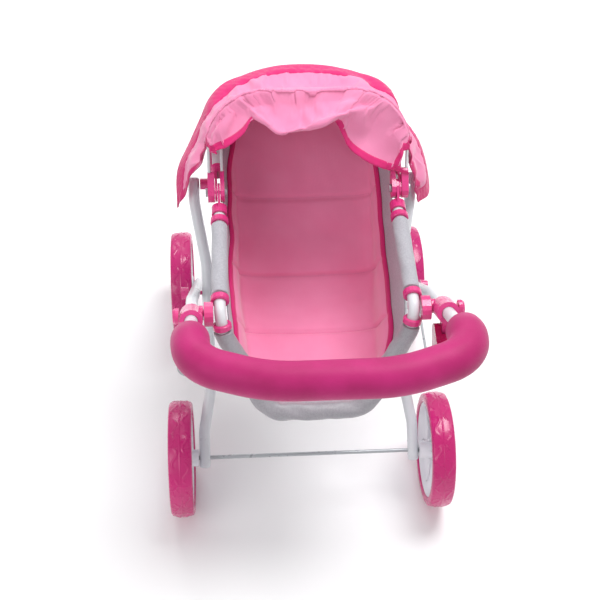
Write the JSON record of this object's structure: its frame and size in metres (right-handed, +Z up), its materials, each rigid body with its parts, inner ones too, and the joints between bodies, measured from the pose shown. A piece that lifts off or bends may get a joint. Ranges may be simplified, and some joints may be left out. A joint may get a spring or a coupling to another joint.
{
  "type": "doll stroller",
  "caption": "Toy doll stroller: folding X-frame on free-rolling wheels, U handle with foam grip, fabric sling seat with pad and a tilting fabric hood.",
  "frame": {"origin": "on the floor, at the bottom centre of the bounding box", "axes": "+Z up, +Y from the pusher's handle towards the front axle, +X to the pusher's right"},
  "size_m": [0.3556, 0.59, 0.5063],
  "materials": {
    "white_tube": "satin",
    "steel": "satin",
    "pink_plastic": "gloss",
    "deep_pink_plastic": "gloss",
    "white_plastic": "satin",
    "pink_tread": "gloss",
    "pink_foam": "matte",
    "grey_cloth": "woven",
    "pink_cloth": "woven"
  },
  "bodies": {
    "front_frame": {"handle_frame": "white_tube", "grip_foam": "pink_foam", "front_axle": "steel", "handle_clamp_left": "pink_plastic", "clamp_cap_left": "pink_plastic", "handle_clamp_right": "pink_plastic", "clamp_cap_right": "pink_plastic"},
    "rear_frame": {"rear_axle": "steel", "rear_leg_left": "white_tube", "cross_bolt_left": "pink_plastic", "rear_leg_right": "white_tube", "cross_bolt_right": "pink_plastic"},
    "seat_rail": {"seat_frame_tube": "white_tube", "footrest_sleeve": "grey_cloth", "seat_tub": "grey_cloth", "seat_pad": "pink_cloth", "rail_ring_upper_left": "pink_plastic", "rail_ring_middle_left": "pink_plastic", "rail_ring_lower_left": "pink_plastic", "rail_sleeve_left": "grey_cloth", "rail_bracket_left": "pink_plastic", "rail_knuckle_left": "pink_plastic", "rail_ring_upper_right": "pink_plastic", "rail_ring_middle_right": "pink_plastic", "rail_ring_lower_right": "pink_plastic", "rail_sleeve_right": "grey_cloth", "rail_bracket_right": "pink_plastic", "rail_knuckle_right": "pink_plastic"},
    "back": {"back_frame_tube": "white_tube", "seat_back": "grey_cloth", "back_pad": "pink_cloth", "back_knuckle_left": "pink_plastic", "hub_screw_left": "steel", "back_bracket_left": "pink_plastic", "back_knuckle_right": "pink_plastic", "hub_screw_right": "steel", "back_bracket_right": "pink_plastic"},
    "hood_front": {"front_bow": "white_tube", "canopy": "pink_cloth", "front_bow_hub_left": "pink_plastic", "front_bow_hub_right": "pink_plastic"},
    "hood_rear": {"rear_bow": "white_tube", "rear_bow_hub_left": "pink_plastic", "rear_bow_hub_right": "pink_plastic"},
    "brake_left": {"brake_wire_left": "steel"},
    "brake_right": {"brake_wire_right": "steel"},
    "latch_left": {"fold_latch_left": "deep_pink_plastic"},
    "latch_right": {"fold_latch_right": "deep_pink_plastic"},
    "wheel_rear_left": {"tyre_rear_left": "pink_tread", "wheel_disc_rear_left": "white_plastic", "hub_cap_rear_left": "pink_plastic"},
    "wheel_rear_right": {"tyre_rear_right": "pink_tread", "wheel_disc_rear_right": "white_plastic", "hub_cap_rear_right": "pink_plastic"},
    "wheel_front_left": {"tyre_front_left": "pink_tread", "wheel_disc_front_left": "white_plastic", "hub_cap_front_left": "pink_plastic"},
    "wheel_front_right": {"tyre_front_right": "pink_tread", "wheel_disc_front_right": "white_plastic", "hub_cap_front_right": "pink_plastic"}
  },
  "joints": [
    {"name": "frame_fold", "type": "hinge", "parent": "front_frame", "child": "rear_frame", "pos_m": [0, 0.0656, 0.2256], "axis": [1, 0, 0], "range_deg": [0, 48]},
    {"name": "rail_fold", "type": "hinge", "parent": "front_frame", "child": "seat_rail", "pos_m": [0, -0.093, 0.369], "axis": [1, 0, 0], "range_deg": [0, 30]},
    {"name": "back_fold", "type": "hinge", "parent": "seat_rail", "child": "back", "pos_m": [0, 0.075, 0.39], "axis": [1, 0, 0], "range_deg": [-75, 0], "deforming": ["seat_tub", "seat_pad", "seat_back", "back_pad"]},
    {"name": "hood_fold", "type": "hinge", "parent": "back", "child": "hood_front", "pos_m": [0, 0.075, 0.39], "axis": [-1, 0, 0], "range_deg": [-20, 35], "deforming": ["canopy"]},
    {"name": "hood_rear_fold", "type": "hinge", "parent": "back", "child": "hood_rear", "pos_m": [0, 0.075, 0.39], "axis": [-1, 0, 0], "range_deg": [-6.6, 11.55]},
    {"name": "brake_press_left", "type": "hinge", "parent": "front_frame", "child": "brake_left", "pos_m": [0, 0.179, 0.115], "axis": [-1, 0, 0], "range_deg": [-19, 0]},
    {"name": "brake_press_right", "type": "hinge", "parent": "front_frame", "child": "brake_right", "pos_m": [0, 0.179, 0.115], "axis": [-1, 0, 0], "range_deg": [-19, 0]},
    {"name": "latch_squeeze_left", "type": "hinge", "parent": "front_frame", "child": "latch_left", "pos_m": [0, -0.117, 0.351], "axis": [1, 0, 0], "range_deg": [-12, 0], "stiffness_Nm_per_rad": 0.5},
    {"name": "latch_squeeze_right", "type": "hinge", "parent": "front_frame", "child": "latch_right", "pos_m": [0, -0.117, 0.351], "axis": [1, 0, 0], "range_deg": [-12, 0], "stiffness_Nm_per_rad": 0.5},
    {"name": "wheel_spin_rear_left", "type": "hinge", "parent": "rear_frame", "child": "wheel_rear_left", "pos_m": [0, -0.083, 0.075], "axis": [1, 0, 0], "continuous": true},
    {"name": "wheel_spin_rear_right", "type": "hinge", "parent": "rear_frame", "child": "wheel_rear_right", "pos_m": [0, -0.083, 0.075], "axis": [1, 0, 0], "continuous": true},
    {"name": "wheel_spin_front_left", "type": "hinge", "parent": "front_frame", "child": "wheel_front_left", "pos_m": [0, 0.22, 0.075], "axis": [1, 0, 0], "continuous": true},
    {"name": "wheel_spin_front_right", "type": "hinge", "parent": "front_frame", "child": "wheel_front_right", "pos_m": [0, 0.22, 0.075], "axis": [1, 0, 0], "continuous": true}
  ],
  "couplings": [
    {"joint": "rail_fold", "follows": "frame_fold", "ratio": 0.624},
    {"joint": "back_fold", "follows": "frame_fold", "ratio": -1.548},
    {"joint": "hood_rear_fold", "follows": "hood_fold", "ratio": 0.33}
  ]
}
